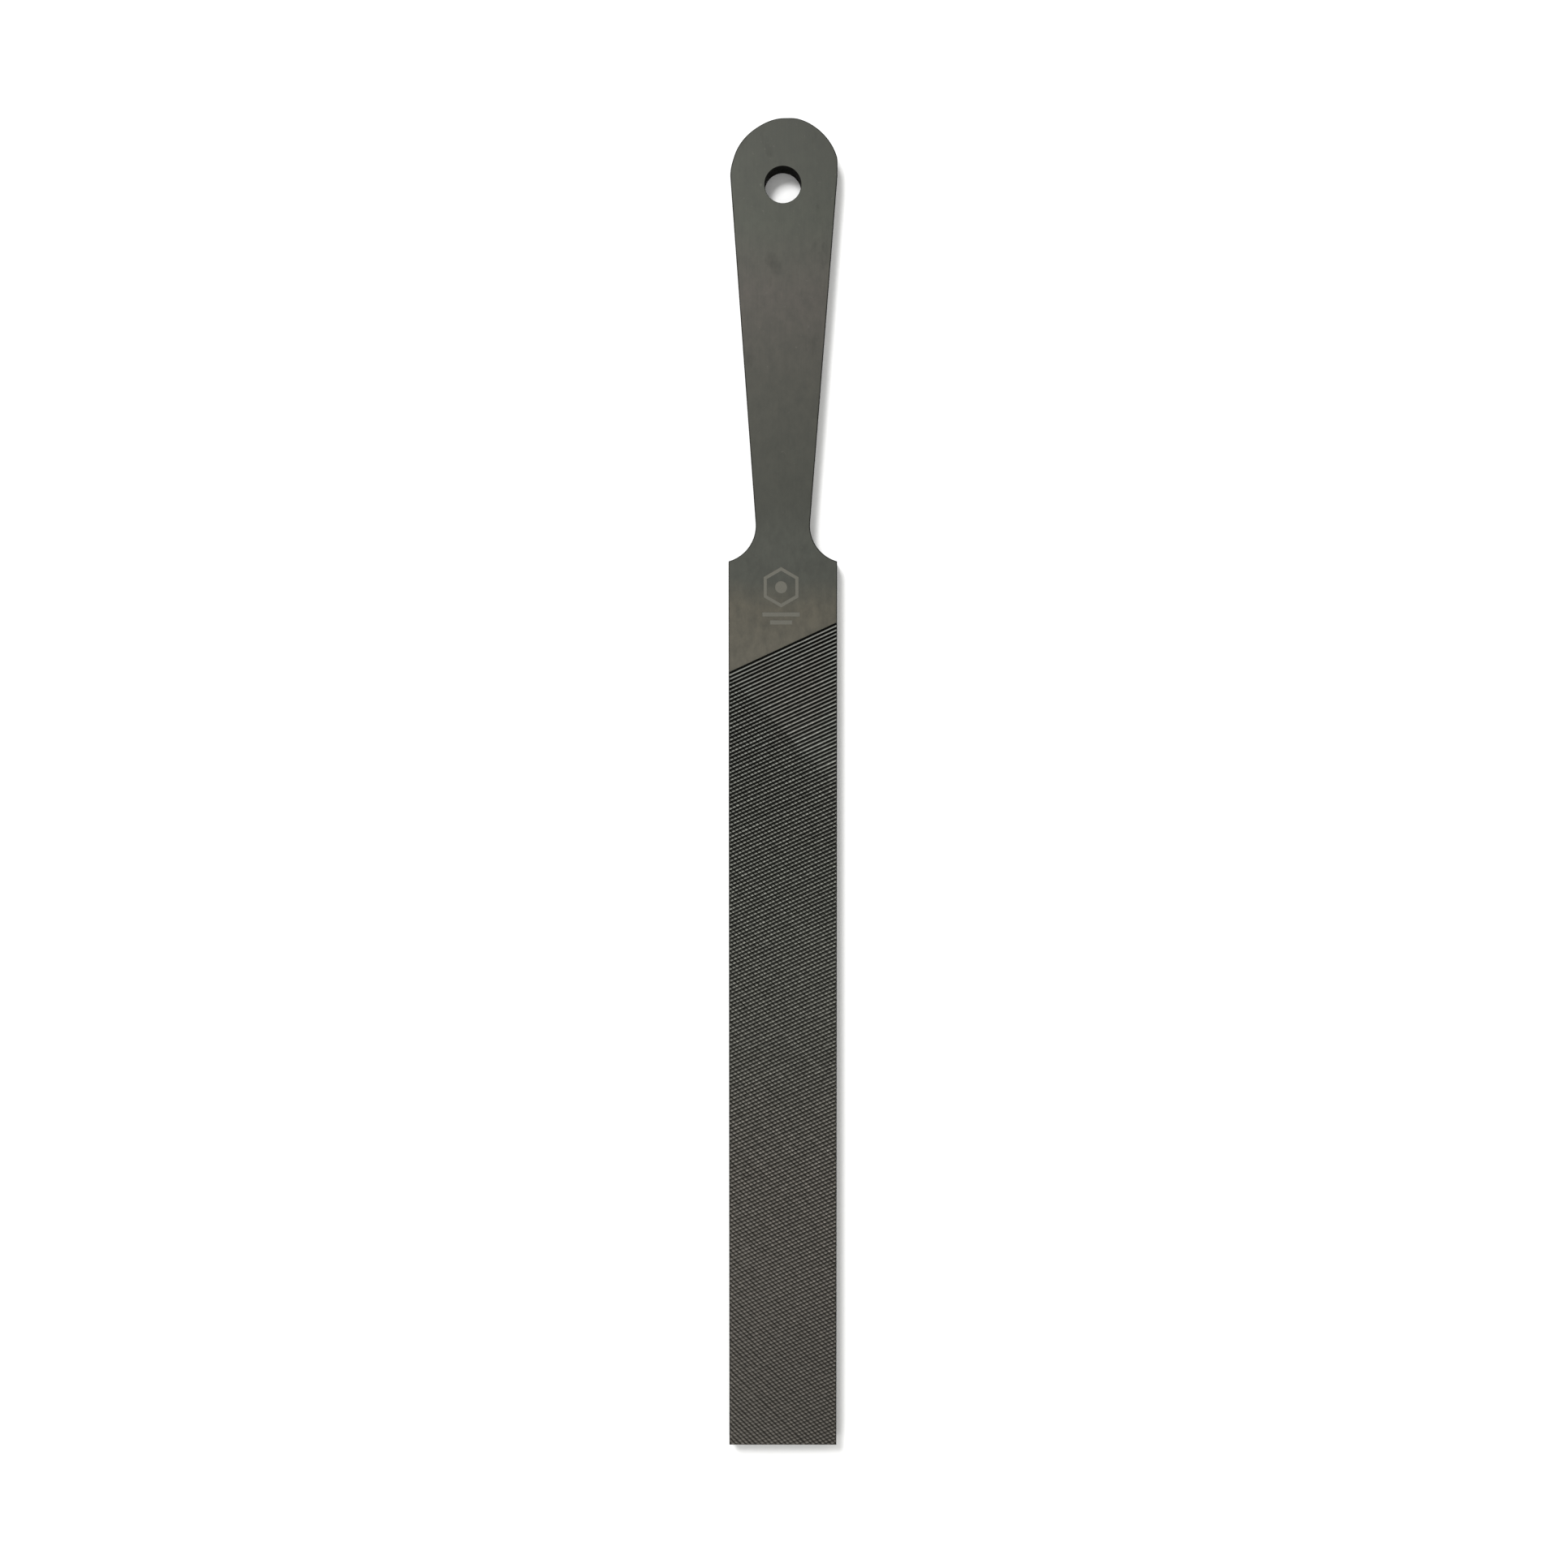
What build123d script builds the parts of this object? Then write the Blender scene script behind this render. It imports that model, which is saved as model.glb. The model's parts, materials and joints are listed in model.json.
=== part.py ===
from build123d import *
from math import asin, atan2, degrees, sqrt
import os

# A flat file whose handle is part of the bar: one strip of steel, ground to its outline, drilled for
# hanging, cut with teeth on its two wide faces and hardened. It is one physical piece, so it is one node.
#
# The file lies flat. +Z is up out of the upper face, +Y runs from the square tip to the rounded end of
# the handle, and X is across the bar. The origin is at the middle of the lower face.
# The teeth are cut down from the wide faces, so each face here is the plane that their crests reach.

# Driving dimensions, in millimetres

bar_width = 30.0  # across the blade, the whole way from tip to shoulder
bar_thickness = 6.0  # between the two wide faces, crest to crest
blade_length = 247.0  # from the square tip to the shoulders
handle_length = 121.5  # from the shoulders to the rounded end
head_width = 30.0  # across the rounded end of the handle
neck_width = 15.0  # across the narrowest part of the handle
neck_radius = 10.2  # of the hollow ground between the neck and each shoulder
hole_diameter = 10.0  # of the hanging hole
hole_from_end = 18.5  # from the rounded end to the middle of the hanging hole
edge_break = 0.3  # size of the small chamfer that takes the burr off every sharp edge

# Places along the file

overall_length = blade_length + handle_length
tip_y = -overall_length / 2
shoulder_y = tip_y + blade_length
end_y = overall_length / 2
hole_y = end_y - hole_from_end

# The rounded end is a circle, and the neck's hollow is an arc that runs out at the shoulder's corner

head_radius = head_width / 2
head_centre = Vector(0, end_y - head_radius)
neck_x = neck_width / 2 + neck_radius
inside_corner = neck_x - bar_width / 2
neck_centre = Vector(neck_x, shoulder_y + sqrt(neck_radius**2 - inside_corner**2))

# The handle's side is the straight line that touches both of them, and it leans out towards the end

between = head_centre - neck_centre
lean = degrees(asin((neck_radius + head_radius) / between.length) - atan2(-between.X, between.Y))
corner_angle = degrees(atan2(shoulder_y - neck_centre.Y, -inside_corner))


with BuildPart() as file_body:
    with BuildSketch():
        with BuildLine():
            neck = CenterArc(neck_centre, neck_radius, corner_angle, -180 - lean - corner_angle)
            head = CenterArc(head_centre, head_radius, -lean, 90 + lean)
            Line(neck @ 1, head @ 0)
            Polyline((0, tip_y), (bar_width / 2, tip_y), neck @ 0)
            mirror(about=Plane.YZ)
        make_face()
        with Locations((0, hole_y)):
            Circle(hole_diameter / 2, mode=Mode.SUBTRACT)
    extrude(amount=bar_thickness)

    wide_faces = file_body.faces().filter_by(Axis.Z)
    chamfer(wide_faces.edges(), edge_break)

file_body.part.label = "file_body"

os.makedirs("parts", exist_ok=True)
export_step(file_body.part, "parts/file_body.step")

print(f"overall length {overall_length:.1f} mm, the handle's sides lean {lean:.2f} degrees")
print(f"volume {file_body.part.volume / 1000:.1f} cm3")
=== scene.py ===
# %% [markdown]
# # A flat file, made from one bar of steel
#
# This lesson builds the looks of a carpenter's flat file around its CAD model. The real tool has no
# separate parts: a strip of tool steel is ground to outline, drilled at the handle end, cut with two
# crossing rows of teeth on both wide faces, and then hardened, which leaves it dark and matte.
# So the model is also one closed mesh. It isn't built in the maker's order. The cut faces come first,
# because everything else has to meet their ragged border. Then come the ground handle, the stamp, the
# walls between the two wide faces, and last the dark finish.
#
# The CAD model is loaded first. It is the ruler for everything that follows.

# %% Load the CAD frame
import json
import math
import random

import bmesh
import bpy
from mathutils import Matrix, Vector, noise


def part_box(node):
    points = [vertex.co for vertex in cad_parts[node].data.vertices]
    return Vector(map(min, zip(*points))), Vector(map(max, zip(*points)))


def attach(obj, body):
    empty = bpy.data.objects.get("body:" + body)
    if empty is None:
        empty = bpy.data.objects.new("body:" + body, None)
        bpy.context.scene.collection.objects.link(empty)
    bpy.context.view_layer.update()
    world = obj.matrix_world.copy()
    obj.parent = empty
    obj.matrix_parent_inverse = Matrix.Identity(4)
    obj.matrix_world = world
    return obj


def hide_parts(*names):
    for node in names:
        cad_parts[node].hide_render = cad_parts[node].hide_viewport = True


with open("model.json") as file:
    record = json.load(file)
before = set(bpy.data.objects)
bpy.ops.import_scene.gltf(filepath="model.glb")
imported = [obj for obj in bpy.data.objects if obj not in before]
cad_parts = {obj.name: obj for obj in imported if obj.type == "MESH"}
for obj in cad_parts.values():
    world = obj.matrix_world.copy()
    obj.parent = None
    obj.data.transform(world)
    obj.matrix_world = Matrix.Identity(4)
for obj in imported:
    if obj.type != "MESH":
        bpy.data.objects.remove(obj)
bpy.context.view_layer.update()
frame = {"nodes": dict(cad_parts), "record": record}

# %% [markdown]
# The mesh is thought out in millimetres, because that is how a file maker would speak of it, and it is
# scaled to metres at the end. The sizes come from the CAD node's box and from the hanging hole, which the
# record describes as a mount. The hollow ground between neck and shoulder is an arc, and three of the
# CAD mesh's own corners are enough to find its circle.

# %% Measure the blank
MM = 0.001

lowest, highest = (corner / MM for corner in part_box("file_body"))
half_width, thickness = highest.x, highest.z
tip_y, end_y = lowest.y, highest.y

hole = next(mount for mount in frame["record"]["mounts"] if mount["name"] == "hanging_hole")
hole_y = hole["pos_m"][1] / MM
hole_radius = hole["dims"]["r_mm"]
edge_break = (thickness - hole["dims"]["length_mm"]) / 2

head_radius = half_width
head_centre = Vector((0, end_y - head_radius, 0))


def circle_through(a, b, c):
    """Centre and radius of the flat circle through three points."""
    ab, ac = b - a, c - a
    twice_area = 2 * (ab.x * ac.y - ab.y * ac.x)
    x = (ac.y * ab.length_squared - ab.y * ac.length_squared) / twice_area
    y = (ab.x * ac.length_squared - ac.x * ab.length_squared) / twice_area
    return a + Vector((x, y, 0)), math.hypot(x, y)


cad_corners = [vertex.co / MM for vertex in frame["nodes"]["file_body"].data.vertices]
right_wall = [
    Vector((c.x, c.y, 0)) for c in cad_corners if c.x > 0 and abs(c.z - edge_break) < 0.01
]
shoulder_y = max(c.y for c in right_wall if c.x > half_width - 0.01 and c.y < hole_y - half_width)
hollow = sorted(
    (c for c in right_wall if shoulder_y - 0.01 < c.y < hole_y - 2 * half_width), key=lambda c: c.y
)
hollow_centre, hollow_radius = circle_through(hollow[0], hollow[len(hollow) // 2], hollow[-1])

print(f"blank {2 * half_width:.1f} x {end_y - tip_y:.1f} x {thickness:.1f} mm")
print(f"shoulder at {shoulder_y:.2f}, hollow of radius {hollow_radius:.2f} at {hollow_centre.xy[:]}")

# %% [markdown]
# ## The camera
#
# A tool like this is drawn from straight above. The lens looks down from a little under half a metre,
# and it leans by less than two degrees, so that the handle end is nearer to it than the tip.

# %% Aim the camera
CAMERA_DISTANCE = 456.0
CAMERA_LEAN = math.radians(1.62)
LENS = 37.77
SENSOR_WIDTH = 36.0
AIM = Vector((0.32, 1.2, thickness))

camera = bpy.data.objects.new("camera", bpy.data.cameras.new("camera"))
camera.data.lens = LENS
camera.data.sensor_width = SENSOR_WIDTH
camera.data.dof.use_dof = False
camera.rotation_euler = (-CAMERA_LEAN, 0, 0)
back = Vector((0, math.sin(CAMERA_LEAN), math.cos(CAMERA_LEAN)))
camera.location = (AIM + CAMERA_DISTANCE * back) * MM
bpy.context.scene.collection.objects.link(camera)
bpy.context.scene.camera = camera
print("camera at", [round(c, 4) for c in camera.location])

# %% [markdown]
# ## The cut
#
# A double-cut file is struck twice with a chisel. The overcut is shallow and falls to the right at
# 45 degrees. The upcut is deep, rises to the right at about 24 degrees, and does the cutting: it turns
# each ridge into a row of teeth that lean towards the tip.
#
# Both families of lines together are a net, so the cut face starts as a grid. Its rows are laid along
# the upcut, two to a tooth: the sharp crest and the gullet in front of it. Its columns are laid along
# the overcut, three to a tooth: the nick, and the shoulder on each side of it.
#
# The cut isn't even. The gullets are deepest at the heel, beside the handle. The overcuts start a little
# below the first upcuts, lightly at first, and on the heel they bite less on the right. Towards the tip,
# on the left, the overcuts become the deeper of the two.

# %% Describe the two cuts
rng = random.Random(41)

UPCUT_START = 39.1  # where the first cut crosses the middle of the bar
UPCUT_ANGLES = 24.8, 23.5  # in degrees, at the heel and at the tip
UPCUT_PITCHES = 1.13, 1.08  # along the bar, at the heel and at the tip
UPCUT_DEPTHS = 0.42, 0.2
GULLET_AT = 0.26  # how far the gullet lies in front of its crest, as a share of the pitch
GULLET_NICKED = 0.25  # how much of a nick's depth is cut into the gullet too, as a share
BLUNTED = 0.04  # the most that a crest is worn down

OVERCUT_START = 15.7  # where the first overcut crosses the middle of the bar
OVERCUT_ANGLE = 44.8
OVERCUT_PITCH = 1.40
OVERCUT_DEPTHS = 0.11, 0.19  # in the middle of the cut face, and at both ends
NICK_HALVES = 0.13, 0.34  # half the width of a nick, as a share of the pitch
FIRST_NICK = 0.6  # how heavy the first overcut is, as a share of the full depth
NICK_GAIN = 0.1  # how much heavier each of the next ones is
NICK_SPREAD = 0.75, 1.15  # how much one nick differs from the next, as a share
RIGHT_LIGHTER = 0.5  # how much lighter the overcuts are at the right of the heel
LIGHTNESS_FADES = 1.6  # how fast that is lost on the way to the tip
LEFT_NICKS, LEFT_GULLETS = 0.4, -0.35  # how much heavier each cut is at the left of the tip

PITCH_SLIPS = 0.05, 0.1  # how far an upcut and an overcut may land from its place
DEPTH_WANDER = 0.06  # how much the depth drifts over the face, as a share
WANDER_SCALE = 0.5  # drifts to the millimetre
RAGGED = 0.03  # how ragged the start of the cut is
STRAIGHT_END = 1.0  # how far in from each side the start of the cut stays straight

# Enough lines of each cut to reach past the corners of the bar.
upcut_count = math.ceil((UPCUT_START - tip_y + half_width / 2) / UPCUT_PITCHES[1])
overcut_before = math.ceil((UPCUT_START + 1.5 * half_width - OVERCUT_START) / OVERCUT_PITCH)
overcut_after = math.ceil((OVERCUT_START - tip_y + 1.1 * half_width) / OVERCUT_PITCH)


def slips(most, count):
    """How far each line of a cut lands from its place."""
    return [rng.uniform(-most, most) for _ in range(count)]


upcut_slips = slips(PITCH_SLIPS[0], upcut_count + 2)
overcut_slips = slips(PITCH_SLIPS[1], overcut_before + overcut_after + 2)
upcut_slips[0] = 0


def between(pair, share):
    """The value at that share of the way from the first of a pair to the second."""
    return pair[0] + (pair[1] - pair[0]) * min(max(share, 0), 1)


def upcut_line(number):
    """Slope of an upcut line, and where it crosses the middle of the bar."""
    share = number / upcut_count
    mean_pitch = between(UPCUT_PITCHES, share / 2)
    return math.tan(math.radians(between(UPCUT_ANGLES, share))), UPCUT_START - mean_pitch * number


def start_line(x):
    """Where the cut face begins, at x."""
    slope, middle = upcut_line(0)
    return middle + slope * x


overcut_slope = -math.tan(math.radians(OVERCUT_ANGLE))
print(f"{upcut_count} upcuts and {overcut_after} overcuts on each face")

# %% [markdown]
# `create_grid` makes the net flat and square. Each of its corners is then moved to where its own two
# lines cross, and sunk: gullets deeply, nicks a little, crests hardly at all. Small seeded slips in the
# pitch and the depth stand for a chisel that never lands twice in quite the same way.

# %% Lay the grid along the cuts
def nick_depth(column, x, along):
    """How deep the overcut is, where along is 0 at the heel and 1 at the tip."""
    if column % 3 or column // 3 < overcut_before:
        return 0
    from_left = (x + half_width) / (2 * half_width)
    first_ones = min(1, FIRST_NICK + NICK_GAIN * (column // 3 - overcut_before))
    heel_share = 1 - min(1, along * LIGHTNESS_FADES)
    across = 1 - RIGHT_LIGHTER * heel_share * from_left
    return between(OVERCUT_DEPTHS, abs(2 * along - 1)) * first_ones * across


def sunk(row, column, x, y):
    """How deep the cut is at a corner of the net."""
    along = (UPCUT_START - y) / (UPCUT_START - tip_y)
    tip_left = max(0, along) ** 2 * (half_width - x) / (2 * half_width)
    drift = noise.noise(Vector((x * WANDER_SCALE, y * WANDER_SCALE, 3.0)))
    wander = 1 + DEPTH_WANDER * drift
    nick = nick_depth(column, x, along) * wander * (1 + LEFT_NICKS * tip_left)
    if row % 2:
        gullet = between(UPCUT_DEPTHS, along) * wander * (1 + LEFT_GULLETS * tip_left)
        return gullet + GULLET_NICKED * nick
    if row == 0:
        return 0
    return rng.uniform(0, BLUNTED) + nick * rng.uniform(*NICK_SPREAD)


def cut_face(bm):
    """The toothed face, from the first upcut down past the tip, wider than the bar."""
    rows = 2 * upcut_count
    columns = 3 * (overcut_before + overcut_after)
    made = bmesh.ops.create_grid(bm, x_segments=columns, y_segments=rows, size=1)
    beyond = half_width + 2 * OVERCUT_PITCH
    far = []
    for vert in made["verts"]:
        column = round((vert.co.x + 1) / 2 * columns)
        row = round((1 - vert.co.y) / 2 * rows)
        nick_half = between(NICK_HALVES, row / rows)
        line = column // 3 + (0, nick_half, 1 - nick_half)[column % 3]
        drop = OVERCUT_START + OVERCUT_PITCH * (overcut_before - line) + overcut_slips[column // 3]
        slope, middle = upcut_line(row // 2)
        middle += upcut_slips[row // 2] - (GULLET_AT * UPCUT_PITCHES[0] if row % 2 else 0)
        x = (drop - middle) / (slope - overcut_slope)
        y = middle + slope * x
        if abs(x) > beyond:
            far.append(vert)
            continue
        if row == 0 and abs(x) < half_width - STRAIGHT_END:
            y += rng.uniform(-RAGGED, RAGGED)
        vert.co = (x, y, thickness - sunk(row, column, x, y))
    bmesh.ops.delete(bm, geom=far, context="VERTS")
    return rows, columns


bm = bmesh.new()
rows, columns = cut_face(bm)
print(f"net of {rows} rows and {columns} columns, {len(bm.faces)} faces before trimming")

# %% [markdown]
# The net is trimmed to the bar with `bisect_plane`. Inside each trimmed edge, two more bisects add the
# lines that a small round needs: every sharp edge of the bar has lost its burr to a stroke of the stone.
# The same formula lowers the corners near the edge, so that the gullets run out through the round as
# they do on a real file.

# %% Trim the net and round its edges
EDGE_STATIONS = 0.0, edge_break * (1 - math.sqrt(0.5)), edge_break  # distances in from an edge


def rounded(inset):
    """Height of the bar's rounded edge at that distance in from its side."""
    inside = max(0, edge_break - inset)
    return thickness - edge_break + math.sqrt(max(0, edge_break**2 - inside**2))


def bisect(bm, point, normal, trim=False):
    """Adds a line of edges across the mesh, or cuts away what is beyond it."""
    everything = bm.verts[:] + bm.edges[:] + bm.faces[:]
    bmesh.ops.bisect_plane(
        bm, geom=everything, plane_co=point, plane_no=normal, clear_outer=trim, dist=1e-5
    )


def trim_cut_face(bm):
    """Trims the net to the bar, and brings its sides down to the rounded edge."""
    for inset in EDGE_STATIONS:
        for side in (-1, 1):
            bisect(bm, (side * (half_width - inset), 0, 0), (side, 0, 0), trim=inset == 0)
        bisect(bm, (0, tip_y + inset, 0), (0, -1, 0), trim=inset == 0)
    for vert in bm.verts:
        inset = min(half_width - abs(vert.co.x), vert.co.y - tip_y)
        vert.co.z = min(vert.co.z, rounded(inset))
        if inset < edge_break and abs(vert.co.y - start_line(vert.co.x)) < 0.05:
            station = min(EDGE_STATIONS, key=lambda s: abs(s - inset))
            x = math.copysign(half_width - station, vert.co.x)
            vert.co = (x, start_line(x), rounded(station))
    bmesh.ops.remove_doubles(bm, verts=bm.verts, dist=1e-3)


trim_cut_face(bm)
print(f"cut face trimmed to {len(bm.faces)} faces")

# %% [markdown]
# ## The ground handle
#
# The plain steel starts where the cut ends. Its outline is straight lines and two arcs on each side:
# the hollow beside the neck, and the rounded end. `spin` draws an arc from a single corner. The same
# outline is drawn three times, each a little further in and higher, and `bridge_loops` joins them into
# a rounded edge. The edge of the hanging hole is made in the same way, but narrower.

# %% Draw the outline
ARC_STEPS = 28
HOLE_EDGE = 0.35  # how wide the hole's broken edge is, as a share of the other edges

to_head = head_centre - hollow_centre
side_lean = math.asin((hollow_radius + head_radius) / to_head.length)
side_lean -= math.atan2(-to_head.x, to_head.y)


def arc(bm, centre, radius, start, sweep):
    """Spins one corner about centre, and gives back the arc's first and last corners."""
    corner = bm.verts.new(centre + radius * Vector((math.cos(start), math.sin(start), 0)))
    spun = bmesh.ops.spin(
        bm, geom=[corner], cent=centre, axis=(0, 0, 1), angle=sweep, steps=ARC_STEPS
    )
    return corner, spun["geom_last"][0]


def outline(bm, inset):
    """The edge of the plain steel, from the cut face on the right round to the cut face on the left."""
    old_verts, old_edges = set(bm.verts), set(bm.edges)
    radius = hollow_radius + inset
    corner_x = half_width - inset
    corner_angle = -math.acos((corner_x - hollow_centre.x) / radius)
    tangent_angle = -math.pi - side_lean
    shoulder, neck = arc(bm, hollow_centre, radius, corner_angle, tangent_angle - corner_angle)
    cheek, top = arc(bm, head_centre, head_radius - inset, -side_lean, math.pi / 2 + side_lean)
    bm.edges.new((neck, cheek))
    end = bm.verts.new((corner_x, start_line(corner_x), 0))
    bm.edges.new((end, shoulder))
    top.co.x = 0

    half = [vert for vert in bm.verts if vert not in old_verts]
    half += [edge for edge in bm.edges if edge not in old_edges]
    bmesh.ops.mirror(bm, geom=half, matrix=Matrix.Identity(4), merge_dist=1e-4, axis="X")
    whole = [vert for vert in bm.verts if vert not in old_verts]
    for vert in whole:
        if vert.co.x < 0 and vert.co.y < shoulder_y - 1:
            vert.co.y = start_line(vert.co.x)
        vert.co.z = rounded(inset)
    return [edge for edge in bm.edges if edge not in old_edges]


def ring(bm, centre, radius, z, corners=48):
    """A round row of edges."""
    made = bmesh.ops.create_circle(
        bm, segments=corners, radius=radius, matrix=Matrix.Translation((centre[0], centre[1], z))
    )
    return list({edge for vert in made["verts"] for edge in vert.link_edges})


handle = bmesh.new()
outlines = [outline(handle, inset) for inset in EDGE_STATIONS]
hole_rings = [
    ring(handle, (0, hole_y), hole_radius + HOLE_EDGE * inset, rounded(inset))
    for inset in EDGE_STATIONS
]
for loops in (outlines, hole_rings):
    for lower, upper in zip(loops, loops[1:]):
        bmesh.ops.bridge_loops(handle, edges=lower + upper)

handle_mesh = bpy.data.meshes.new("handle_edges")
handle.to_mesh(handle_mesh)
bm.from_mesh(handle_mesh)
bpy.data.meshes.remove(handle_mesh)
handle.free()
bmesh.ops.remove_doubles(bm, verts=bm.verts, dist=1e-3)
print(f"the handle's sides lean {math.degrees(side_lean):.2f} degrees")

# %% [markdown]
# ## Turning the bar over
#
# Both wide faces are cut alike. When the bar is turned over about its own length, the lower face shows
# the same hand of cut as the upper one did. So the lower face is a copy of the upper one, turned and not
# mirrored.

# %% Turn a copy over
CUT, PLAIN, STAMPED = 0, 1, 2  # the order of the material slots

for face in bm.faces:
    middle = face.calc_center_median()
    face.material_index = CUT if middle.y < start_line(middle.x) else PLAIN

upper = bm.verts[:] + bm.edges[:] + bm.faces[:]
lower = bmesh.ops.duplicate(bm, geom=upper)["geom"]
bmesh.ops.rotate(
    bm,
    verts=[part for part in lower if isinstance(part, bmesh.types.BMVert)],
    cent=(0, 0, thickness / 2),
    matrix=Matrix.Rotation(math.pi, 3, "Y"),
)
print(f"both sides together have {len(bm.faces)} faces")

# %% [markdown]
# The handle was ground by hand, so it isn't quite what was drawn. From just above the neck it leans a
# little to the right. Its rounded end was worn down from a true circle, most of all at the upper left.
# Both faces are moved together here, after the turning, because a ground edge goes straight through
# the bar. Nothing may end up wider than the bar that it was ground from.

# %% Grind the handle by hand
LEAN_FROM = 92.0  # the place along the bar where the handle begins to lean
LEAN = 0.0062  # how far it leans for each millimetre
HOLE_MARGIN = 1.0  # corners this near to the hole belong to it, and stay where they were drilled
HEAD_FROM = 3.0  # how far below its middle the rounded end begins
GROUND_AWAY = (  # direction from the middle of the rounded end in degrees, and depth in mm
    (0, 0),
    (48, 0.2),
    (76, 0.1),
    (90, 0.35),
    (125, 0.7),
    (160, 0.5),
    (190, 0),
)


def ground_away(degrees):
    """How far the grinder went inside the drawn circle in that direction."""
    for (first, depth), (last, next_depth) in zip(GROUND_AWAY, GROUND_AWAY[1:]):
        if first <= degrees < last:
            eased = 0.5 - 0.5 * math.cos(math.pi * (degrees - first) / (last - first))
            return depth + (next_depth - depth) * eased
    return 0


def grind_by_hand(bm):
    """Moves the handle's outline to where the grinder's hand left it, inside the bar's width."""
    for vert in bm.verts:
        out = vert.co - head_centre
        out.z = 0
        from_hole = math.hypot(vert.co.x, vert.co.y - hole_y)
        if vert.co.y < LEAN_FROM or from_hole < hole_radius + HOLE_MARGIN:
            continue
        if vert.co.y > head_centre.y - HEAD_FROM:
            degrees = math.degrees(math.atan2(out.y, out.x)) % 360
            vert.co -= out.normalized() * ground_away(degrees - 360 if degrees > 270 else degrees)
        height = max(vert.co.z, thickness - vert.co.z)
        limit = half_width - min(EDGE_STATIONS, key=lambda inset: abs(rounded(inset) - height))
        vert.co.x = min(max(vert.co.x + LEAN * (vert.co.y - LEAN_FROM), -limit), limit)


grind_by_hand(bm)
head_at = max(bm.verts, key=lambda vert: vert.co.y).co.y
print(f"the rounded end now stops {end_y - head_at:.2f} mm short of the drawn circle")

# %% [markdown]
# The plain steel is now filled in on both sides. The stamp is a plain sign of the author's own: a
# hexagon with a dot in it, over two bars. `triangle_fill` leaves holes for its outlines, and
# `inset_region` presses it a little way into the steel.

# %% Fill the plain steel, and press in the stamp
STAMP_CENTRE = Vector((-0.5, 55.6, thickness))
STAMP_DEPTH = 0.04
STAMP_SLOPE = 0.06  # how wide the sloping side of a pressed shape is
HEXAGON_RADII = 5.6, 4.5
DOT_RADIUS = 1.7
BARS = (-7.5, 5.2), (-9.7, 3.1)  # distance from the hexagon's middle, and half the length
BAR_HALF_HEIGHT = 0.6


def rim(bm, z):
    """The edges round the hole that the plain steel has to fill, at the level of one wide face."""
    return [
        edge
        for edge in bm.edges
        if len(edge.link_faces) == 1 and all(abs(vert.co.z - z) < 1e-3 for vert in edge.verts)
    ]


def bar(bm, middle, half_length, half_height):
    """A flat rectangle."""
    shape = Matrix.Translation(middle) @ Matrix.Diagonal((half_length, half_height, 1, 1))
    made = bmesh.ops.create_grid(bm, x_segments=1, y_segments=1, size=1, matrix=shape)
    return list(made["verts"][0].link_faces)


def stamp_shapes(bm):
    """The flat shapes of the stamp."""
    outer, inner = (
        ring(bm, STAMP_CENTRE, radius, thickness, corners=6) for radius in HEXAGON_RADII
    )
    shapes = list(bmesh.ops.bridge_loops(bm, edges=outer + inner)["faces"])
    dot = ring(bm, STAMP_CENTRE, DOT_RADIUS, thickness, corners=32)
    shapes += bmesh.ops.contextual_create(bm, geom=dot)["faces"]
    for drop, half_length in BARS:
        shapes += bar(bm, STAMP_CENTRE + Vector((0, drop, 0)), half_length, BAR_HALF_HEIGHT)
    return shapes


plain_lower = bmesh.ops.triangle_fill(bm, edges=rim(bm, 0), use_beauty=True, normal=(0, 0, -1))
upper_rim = rim(bm, thickness)
stamp = stamp_shapes(bm)
stamp_rim = [edge for face in stamp for edge in face.edges if len(edge.link_faces) == 1]
plain_upper = bmesh.ops.triangle_fill(
    bm, edges=upper_rim + stamp_rim, use_beauty=True, normal=(0, 0, 1)
)
for filled in (plain_lower, plain_upper):
    for face in filled["geom"]:
        if isinstance(face, bmesh.types.BMFace):
            face.material_index = PLAIN
pressed = bmesh.ops.inset_region(
    bm, faces=stamp, thickness=STAMP_SLOPE, depth=-STAMP_DEPTH, use_even_offset=True
)
for face in stamp + pressed["faces"]:
    face.material_index = STAMPED
print(f"stamp of {len(stamp)} faces")

# %% [markdown]
# ## The walls
#
# What is left open is the rim of each wide face. Round the handle and in the hole, the upper and lower
# rims match corner for corner, so `bridge_loops` joins them. Along the blade they don't match, because
# the gullets of the two faces run out in different places. Each of those three walls is flat, so it is
# one many-sided face.

# %% Close the walls
def open_edges(bm, test):
    """Edges with less than two faces, whose corners all pass the test."""
    return [
        edge
        for edge in bm.edges
        if len(edge.link_faces) < 2 and all(test(vert.co) for vert in edge.verts)
    ]


def wall(bm, test):
    """One many-sided face across the open edges that pass the test."""
    made = bmesh.ops.contextual_create(bm, geom=open_edges(bm, test))
    for face in made["faces"]:
        face.material_index = PLAIN
    return made["faces"]


def on_handle(point):
    """Whether a point is on the handle's side of the shoulders."""
    return point.y > shoulder_y - 0.01 and abs(point.x) < half_width + 0.01


for part in (lambda p: math.hypot(p.x, p.y - hole_y) < hole_radius + 0.1, on_handle):
    bridged = bmesh.ops.bridge_loops(bm, edges=open_edges(bm, part))
    for face in bridged["faces"]:
        face.material_index = PLAIN

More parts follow.
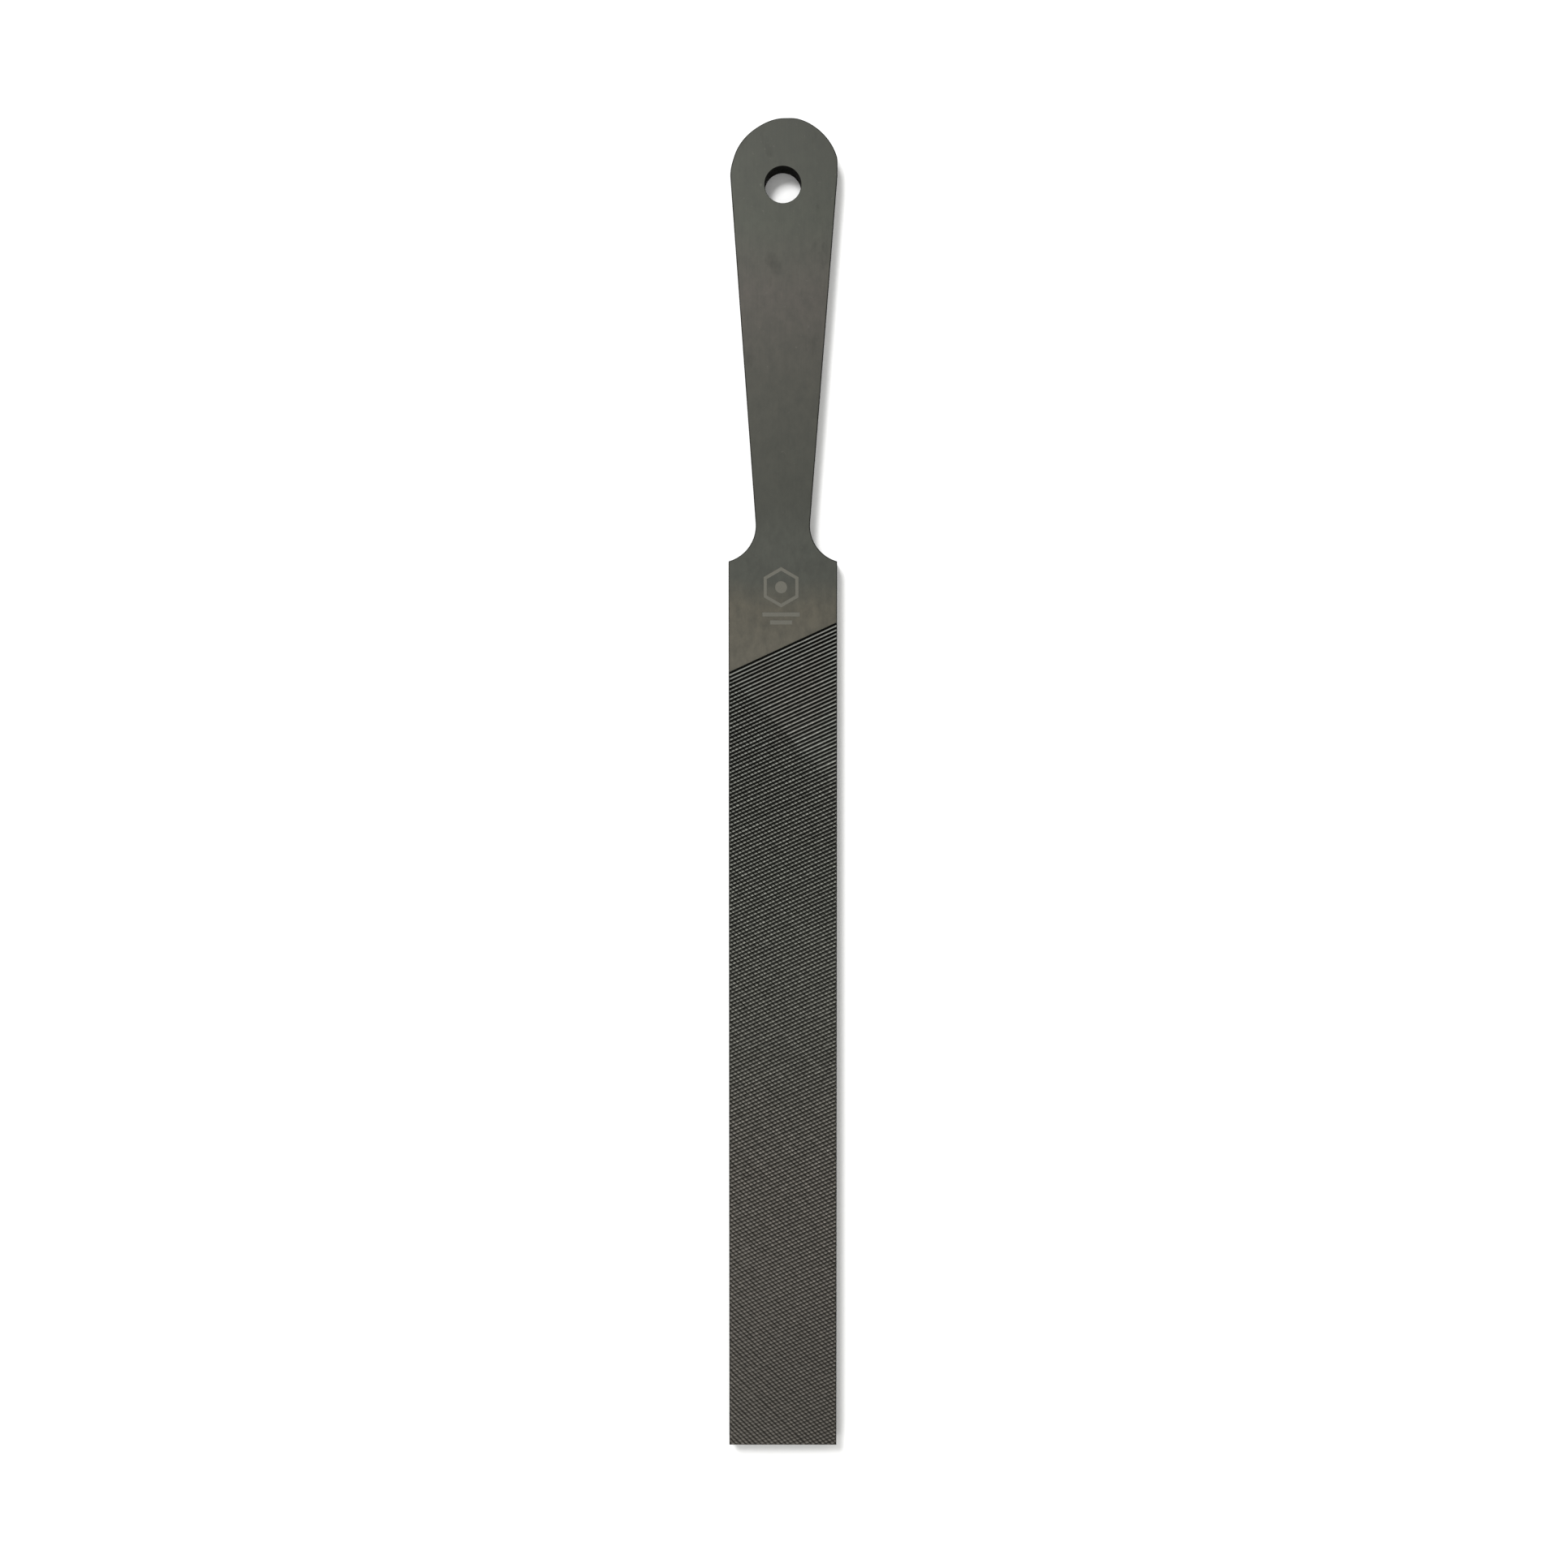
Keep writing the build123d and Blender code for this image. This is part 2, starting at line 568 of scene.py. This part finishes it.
# The tip's two upright corners part the three flat walls.
for side in (-1, 1):
    corners = [
        vert
        for vert in bm.verts
        if abs(vert.co.x - side * half_width) < 1e-3 and abs(vert.co.y - tip_y) < 1e-3
    ]
    bm.edges.new(corners)
walls = [
    wall(bm, lambda p: p.x > half_width - 1e-3),
    wall(bm, lambda p: p.x < -half_width + 1e-3),
    wall(bm, lambda p: p.y < tip_y + 1e-3),
]
bmesh.ops.recalc_face_normals(bm, faces=bm.faces)
open_left = sum(len(edge.link_faces) != 2 for edge in bm.edges)
print(f"walls with {[len(made[0].verts) for made in walls]} corners, {open_left} edges left open")
print(f"volume {bm.calc_volume() / 1000:.2f} cm3")

# %% [markdown]
# The mesh is finished by scaling it to metres. Faces that meet at a shallow angle, as along the arcs,
# are shaded smooth, and all other edges stay crisp, because ground and cut steel has crisp edges.

# %% Make it a piece
CRISP_ANGLE = math.radians(20)

bmesh.ops.scale(bm, vec=(MM, MM, MM), verts=bm.verts)
for face in bm.faces:
    face.smooth = True
mesh = bpy.data.meshes.new("steel_file")
bm.to_mesh(mesh)
bm.free()
mesh.set_sharp_from_angle(angle=CRISP_ANGLE)
steel_file = bpy.data.objects.new("steel_file", mesh)
bpy.context.scene.collection.objects.link(steel_file)
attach(steel_file, "root")
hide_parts("file_body")
triangles = sum(len(polygon.vertices) - 2 for polygon in mesh.polygons)
print(f"one closed piece of {triangles} triangles")

# %% [markdown]
# ## The finish
#
# Hardened steel comes out of the salt bath dark. It is matte, slightly green in some places and brown
# in others, and the long scratches of the grinding belt still show through. All patterns are read in
# Object coordinates, so they stay on the steel however it is viewed.

# %% Helpers for the materials
def feed(tree, socket, value):
    """Links a socket to another node's output, or sets it to a constant."""
    if isinstance(value, bpy.types.NodeSocket):
        tree.links.new(value, socket)
    else:
        socket.default_value = value


def node(tree, kind, **settings):
    """A node with its properties and inputs set. An input is named by its label, with _ for a space."""
    made = tree.nodes.new(kind)
    for name, value in settings.items():
        if hasattr(made, name):
            setattr(made, name, value)
        else:
            feed(tree, made.inputs[name.replace("_", " ")], value)
    return made


def place_on_steel(tree):
    """Where a point is in Object coordinates: one output for each of X, Y and Z, in metres."""
    place = node(tree, "ShaderNodeTexCoord").outputs["Object"]
    return node(tree, "ShaderNodeSeparateXYZ", Vector=place).outputs


def pattern(tree, scale, detail=2.0, rough=0.5, distortion=0.0):
    """Noise between 0 and 1, with about this many features to the metre along X, Y and Z."""
    place = node(tree, "ShaderNodeTexCoord").outputs["Object"]
    return node(
        tree,
        "ShaderNodeTexNoise",
        Vector=node(tree, "ShaderNodeMapping", Vector=place, Scale=scale).outputs["Vector"],
        Scale=1.0,
        Detail=detail,
        Roughness=rough,
        Distortion=distortion,
    ).outputs["Fac"]


def ramp(tree, fac, low, high, to_low=0.0, to_high=1.0):
    """Stretches the part of a value between low and high to to_low and to_high."""
    made = node(
        tree,
        "ShaderNodeMapRange",
        Value=fac,
        From_Min=low,
        From_Max=high,
        To_Min=to_low,
        To_Max=to_high,
        clamp=True,
    )
    return made.outputs["Result"]


def math_node(tree, operation, a, b=0):
    """One step of arithmetic."""
    made = node(tree, "ShaderNodeMath", operation=operation)
    for socket, value in zip(made.inputs, (a, b)):
        feed(tree, socket, value)
    return made.outputs["Value"]


def mix(tree, fac, a, b):
    """Goes from colour a to colour b as fac goes from 0 to 1."""
    made = node(tree, "ShaderNodeMix", data_type="RGBA")
    for socket, value in zip((made.inputs[0], made.inputs[6], made.inputs[7]), (fac, a, b)):
        feed(tree, socket, value)
    return made.outputs[2]


def bump(tree, height, strength, distance, under=None):
    """Lets a pattern stand up by that distance in metres, on top of another bump if there is one."""
    made = node(tree, "ShaderNodeBump", Height=height, Strength=strength, Distance=distance)
    if under:
        tree.links.new(under, made.inputs["Normal"])
    return made.outputs["Normal"]


def new_material(name):
    """A material, its node tree, and its main shader."""
    material = bpy.data.materials.new(name)
    material.use_nodes = True
    tree = material.node_tree
    return material, tree, tree.nodes["Principled BSDF"]


# %% [markdown]
# The plain steel changes its tint along the bar: a band of brown at the middle of the handle, darker
# towards the neck, and brown again beside the stamp. Over that lie a few oil stains, the belt's
# scratches, and a fine grain that takes the shine off. The broken edges and the bore are painted
# near black, and the walls a little darker: this is painted shade, for the shade on the rounded
# edges and in the hole.

# %% The dark plain steel
TINTS = (  # distance along the bar in metres, and the colour there
    (0.018, (0.055, 0.055, 0.045)),  # the blade's narrow edges: plain grey
    (0.030, (0.095, 0.088, 0.07)),  # beside the cut: brown-grey
    (0.050, (0.085, 0.078, 0.06)),
    (0.058, (0.055, 0.057, 0.048)),  # the shoulders: green-grey
    (0.068, (0.055, 0.057, 0.048)),
    (0.080, (0.045, 0.046, 0.038)),  # the neck: darker
    (0.110, (0.048, 0.047, 0.039)),
    (0.135, (0.057, 0.052, 0.045)),  # the middle of the handle: warm grey
    (0.155, (0.045, 0.047, 0.038)),
    (0.184, (0.035, 0.036, 0.03)),  # the rounded end: dark green-grey
)
TINTS_WANDER = 0.006  # how far a bound between two tints wanders, in metres
MOTTLED = 0.03, 0.031, 0.027, 1
BELT_MARKS = 0.026, 0.027, 0.024, 1
OIL_STAIN = 0.018, 0.018, 0.016, 1
BRIGHT_SPECK = 0.09, 0.086, 0.075, 1
# Painted shade: the near black of the rounded edges, the walls and the bore.
EDGE_SHADE_BLACK = 0.006, 0.006, 0.005, 1
# The next constants set how strong the painted shade is on the rim, on the walls and in the bore.
RIM_FADES_IN = 0.03  # in mm below the wide face
RIM_DARKNESS = 0.85
WALL_STARTS = 0.8, 1.2  # where the rim's dark gives way to the wall's, in edge breaks below the face
WALL_DARKNESS = 0.15
BORE_FADES = 1.003  # where the bore's dark has faded out, as a share of the hole's outer radius


def tint_along(tree, tints, wander):
    """A colour that changes along the bar. wander moves the bounds between the tints a little."""
    y = place_on_steel(tree)["Y"]
    y = math_node(tree, "ADD", y, ramp(tree, wander, 0, 1, -TINTS_WANDER, TINTS_WANDER))
    first, last = tints[0][0], tints[-1][0]
    made = node(tree, "ShaderNodeValToRGB", Fac=ramp(tree, y, first, last))
    stops = made.color_ramp.elements
    while len(stops) < len(tints):
        stops.new(0.5)
    for stop, (at, colour) in zip(stops, tints):
        stop.position = (at - first) / (last - first)
        stop.color = (*colour, 1)
    return made.outputs["Color"]


def depth_below_face(tree):
    """How far a point lies below the nearer wide face, in metres."""
    middle = thickness * MM / 2
    above_middle = math_node(tree, "SUBTRACT", place_on_steel(tree)["Z"], middle)
    from_middle = math_node(tree, "ABSOLUTE", above_middle)
    return math_node(tree, "SUBTRACT", middle, from_middle)


def in_the_bore(tree):
    """1 on the wall of the hanging hole, 0 elsewhere."""
    x, y, _ = place_on_steel(tree)
    y = math_node(tree, "SUBTRACT", y, hole_y * MM)
    squares = [math_node(tree, "MULTIPLY", side, side) for side in (x, y)]
    from_axis = math_node(tree, "SQRT", math_node(tree, "ADD", *squares))
    outside = (hole_radius + HOLE_EDGE * edge_break) * MM
    return ramp(tree, from_axis, BORE_FADES * outside, outside)


def painted_edge_shade(tree):
    """Near 1 on the rim of each wide face and in the bore, and a little on the walls: a mask for painted
    shade.
    """
    depth = depth_below_face(tree)
    rim_starts = ramp(tree, depth, 0, RIM_FADES_IN * MM, 0, RIM_DARKNESS)
    wall_starts = [share * edge_break * MM for share in WALL_STARTS]
    rim_ends = ramp(tree, depth, *wall_starts, 0, RIM_DARKNESS - WALL_DARKNESS)
    rim = math_node(tree, "SUBTRACT", rim_starts, rim_ends)
    return math_node(tree, "MAXIMUM", rim, in_the_bore(tree))


def plain_steel():
    """The handle, the plain steel above the cut, and the walls."""
    material, tree, shader = new_material("dark_plain_steel")
    patches = pattern(tree, (45, 22, 45), detail=3, distortion=0.6)
    belt = pattern(tree, (2600, 60, 2600), detail=3, rough=0.6)
    scratches = pattern(tree, (4200, 90, 4200), detail=1)
    stains = ramp(tree, pattern(tree, (150, 70, 150), detail=4, rough=0.62), 0.6, 0.8)
    specks = ramp(tree, pattern(tree, (900, 900, 900), detail=2), 0.70, 0.78)
    mottle = pattern(tree, (420, 260, 420), detail=4, rough=0.65)
    grain = pattern(tree, (5200, 5200, 5200))
    edges = painted_edge_shade(tree)

    colour = tint_along(tree, TINTS, patches)
    colour = mix(tree, ramp(tree, mottle, 0.35, 0.75, 0, 0.5), colour, MOTTLED)
    colour = mix(tree, ramp(tree, belt, 0.35, 0.7, 0, 0.08), colour, BELT_MARKS)
    colour = mix(tree, ramp(tree, stains, 0, 1, 0, 0.4), colour, OIL_STAIN)
    colour = mix(tree, ramp(tree, specks, 0, 1, 0, 0.25), colour, BRIGHT_SPECK)
    # Painted shade on the rounded edges, the walls and in the bore.
    colour = mix(tree, edges, colour, EDGE_SHADE_BLACK)
    dullness = ramp(tree, belt, 0.2, 0.8, 0.43, 0.48)
    dullness = math_node(tree, "ADD", dullness, ramp(tree, stains, 0, 1, 0, 0.12))
    dullness = math_node(tree, "ADD", dullness, ramp(tree, edges, 0, 1, 0, 0.35))
    lay = bump(tree, belt, 0.1, 0.02 * MM)
    lay = bump(tree, scratches, 0.25, 0.01 * MM, lay)
    lay = bump(tree, grain, 0.3, 0.01 * MM, lay)
    tree.links.new(colour, shader.inputs["Base Color"])
    tree.links.new(dullness, shader.inputs["Roughness"])
    tree.links.new(lay, shader.inputs["Normal"])
    tree.links.new(ramp(tree, edges, 0, 1, 0.3, 0.05), shader.inputs["Specular IOR Level"])
    tree.links.new(ramp(tree, edges, 0, 1, 0.55, 0.1), shader.inputs["Metallic"])
    return material


# %% [markdown]
# On the cut faces, the chisel has thrown up clean crests, and the gullets between them are painted
# near black: painted shade for the shade deep in the gullets. How deep a point lies below the wide
# face tells one from the other. At the heel the painted shade has a hard edge, and at the tip, where
# the gullets are shallow, it fades in softly. A little brown is left on the first cuts, and the corner
# along each side of the blade gets painted shade as well.

# %% The cut steel
CREST_TINTS = (
    (-0.184, (0.185, 0.17, 0.15)),  # the tip: pale brown
    (-0.140, (0.16, 0.147, 0.13)),
    (-0.110, (0.125, 0.115, 0.1)),
    (-0.075, (0.07, 0.069, 0.058)),  # the middle of the blade: green-grey
    (-0.030, (0.068, 0.07, 0.059)),
    (0.000, (0.076, 0.078, 0.067)),
    (0.046, (0.13, 0.138, 0.125)),  # the first cuts: bright
)
# The painted shade in the gullets and along the blade's sides: where it begins and is complete, and how
# strong it is.
DARK_FROM = 0.35, 0.0  # share of the gullet's depth where the dark begins, at the heel and at the tip
DARK_TO = 0.56, 0.96  # and where it is complete
DARKNESS = 1.0, 0.86  # how dark the gullets are at the heel, and where they are palest
SOFTENS_FROM = 0.3  # how far down the cut face the dark's hard edge lasts, as a share
PALEST_FROM = 0.5  # how far down the dark is at its palest
DARK_SIDES = 0.28, 0.18  # distance from the side of the blade where its dark begins and is complete
BROWNED_FROM, BROWNED_FULLY = -0.02, 0.03  # along the bar, in metres
BROWNED = 0.085, 0.066, 0.058, 1
DULL_TOOTH = 0.05, 0.05, 0.044, 1
# Painted shade in the gullets and along the sides of the blade.
GULLET_SHADE_BLACK = 0.0015, 0.0015, 0.0012, 1


def gullet_shade_mask(tree, place):
    """0 on the crests, near 1 in the gullets and along the sides of the blade: a mask for painted shade.
    """
    along = ramp(tree, place["Y"], UPCUT_START * MM, tip_y * MM)
    full_depth = ramp(tree, along, 0, 1, *(depth * MM for depth in UPCUT_DEPTHS))
    share = math_node(tree, "DIVIDE", depth_below_face(tree), full_depth)
    begins = ramp(tree, along, SOFTENS_FROM, 1, *DARK_FROM)
    complete = ramp(tree, along, SOFTENS_FROM, 1, *DARK_TO)
    gullets = ramp(tree, share, begins, complete)
    gullets = math_node(tree, "MULTIPLY", gullets, ramp(tree, along, 0, PALEST_FROM, *DARKNESS))
    from_middle = math_node(tree, "ABSOLUTE", place["X"])
    sides = ramp(tree, from_middle, *((half_width - inset) * MM for inset in DARK_SIDES))
    return math_node(tree, "MAXIMUM", gullets, sides)


def cut_steel():
    """The toothed faces: pale crests over gullets in painted shade."""
    material, tree, shader = new_material("cut_steel")
    place = place_on_steel(tree)
    patches = pattern(tree, (45, 22, 45), detail=3, distortion=0.6)
    teeth = pattern(tree, (900, 900, 900), detail=1)
    grain = pattern(tree, (5200, 5200, 5200))
    gullets = gullet_shade_mask(tree, place)
    browned = ramp(tree, pattern(tree, (60, 35, 60), detail=3, rough=0.6), 0.45, 0.65, 0, 0.35)
    near_heel = ramp(tree, place["Y"], BROWNED_FROM, BROWNED_FULLY)
    browned = math_node(tree, "MULTIPLY", browned, near_heel)

    colour = tint_along(tree, CREST_TINTS, patches)
    colour = mix(tree, browned, colour, BROWNED)
    colour = mix(tree, ramp(tree, teeth, 0.3, 0.7, 0, 0.3), colour, DULL_TOOTH)
    # Painted shade in the gullets and along the sides of the blade.
    colour = mix(tree, gullets, colour, GULLET_SHADE_BLACK)
    tree.links.new(colour, shader.inputs["Base Color"])
    tree.links.new(ramp(tree, teeth, 0.2, 0.8, 0.38, 0.52), shader.inputs["Roughness"])
    tree.links.new(bump(tree, grain, 0.3, 0.01 * MM), shader.inputs["Normal"])
    tree.links.new(ramp(tree, gullets, 0, 1, 0.3, 0.02), shader.inputs["Specular IOR Level"])
    shader.inputs["Metallic"].default_value = 0.5
    return material


# %% [markdown]
# The stamp was pressed in and then etched with acid, which leaves it paler and duller than the steel
# round it. Every face already knows its material slot, so all that is left is to fill the slots in the
# same order.

# %% The etched stamp
ETCHED_DARK = 0.088, 0.086, 0.072, 1
ETCHED_PALE = 0.125, 0.121, 0.103, 1


def etched_steel():
    """The stamp."""
    material, tree, shader = new_material("etched_steel")
    grain = pattern(tree, (2600, 2600, 2600), detail=3, rough=0.7)
    colour = mix(tree, grain, ETCHED_DARK, ETCHED_PALE)
    tree.links.new(colour, shader.inputs["Base Color"])
    tree.links.new(ramp(tree, grain, 0.2, 0.8, 0.5, 0.62), shader.inputs["Roughness"])
    tree.links.new(bump(tree, grain, 0.4, 0.02 * MM), shader.inputs["Normal"])
    shader.inputs["Metallic"].default_value = 0.8
    return material


for material in (cut_steel(), plain_steel(), etched_steel()):
    steel_file.data.materials.append(material)
print("materials:", [slot.name for slot in steel_file.material_slots])

# %% [markdown]
# ## The light and the floor
#
# The file lies on a white sheet in a bright and even room. One large soft light stands beyond the
# handle's end and to the left, so that a narrow shadow falls to the right and past the tip, and the
# slopes of the teeth that face the handle catch it.

# %% Floor and lights
FLOOR_GAP = 0.00005  # in metres, like all sizes here
FLOOR_SIZE = 6.0
SHEET_DARK = 0.93, 0.93, 0.93, 1
SHEET_PALE = 0.96, 0.96, 0.96, 1
KEY_PLACE = -0.59, 1.1, 1.6
KEY_SIZE = 0.62
KEY_POWER = 35.0
ROOM_COLOUR = 1.0, 1.0, 0.98, 1
ROOM_STRENGTH = 0.78


def white_sheet():
    """The paper that the file lies on."""
    material, tree, shader = new_material("white_sheet")
    fibres = pattern(tree, (900, 900, 900))
    tree.links.new(mix(tree, fibres, SHEET_DARK, SHEET_PALE), shader.inputs["Base Color"])
    shader.inputs["Roughness"].default_value = 0.9
    shader.inputs["Specular IOR Level"].default_value = 0.1
    return material


def soft_light(name, place, size, power):
    """A square soft box that faces the middle of the file."""
    light = bpy.data.lights.new(name, "AREA")
    light.shape = "SQUARE"
    light.size = size
    light.energy = power
    lamp = bpy.data.objects.new(name, light)
    lamp.location = place
    lamp.rotation_euler = (-Vector(place)).to_track_quat("-Z", "Y").to_euler()
    bpy.context.scene.collection.objects.link(lamp)


sheet = bmesh.new()
bmesh.ops.create_grid(sheet, x_segments=1, y_segments=1, size=FLOOR_SIZE / 2)
bmesh.ops.translate(sheet, verts=sheet.verts, vec=(0, 0, -FLOOR_GAP))
floor_mesh = bpy.data.meshes.new("floor")
sheet.to_mesh(floor_mesh)
sheet.free()
floor = bpy.data.objects.new("floor", floor_mesh)
floor.data.materials.append(white_sheet())
bpy.context.scene.collection.objects.link(floor)

soft_light("key_light", KEY_PLACE, KEY_SIZE, KEY_POWER)
world = bpy.data.worlds.new("room")
world.use_nodes = True
room = world.node_tree.nodes["Background"]
room.inputs["Color"].default_value = ROOM_COLOUR
room.inputs["Strength"].default_value = ROOM_STRENGTH
bpy.context.scene.world = world
bpy.context.scene.view_settings.view_transform = "Standard"
bpy.context.scene.view_settings.look = "None"
print(f"light of {KEY_POWER:.0f} W at {KEY_PLACE}")
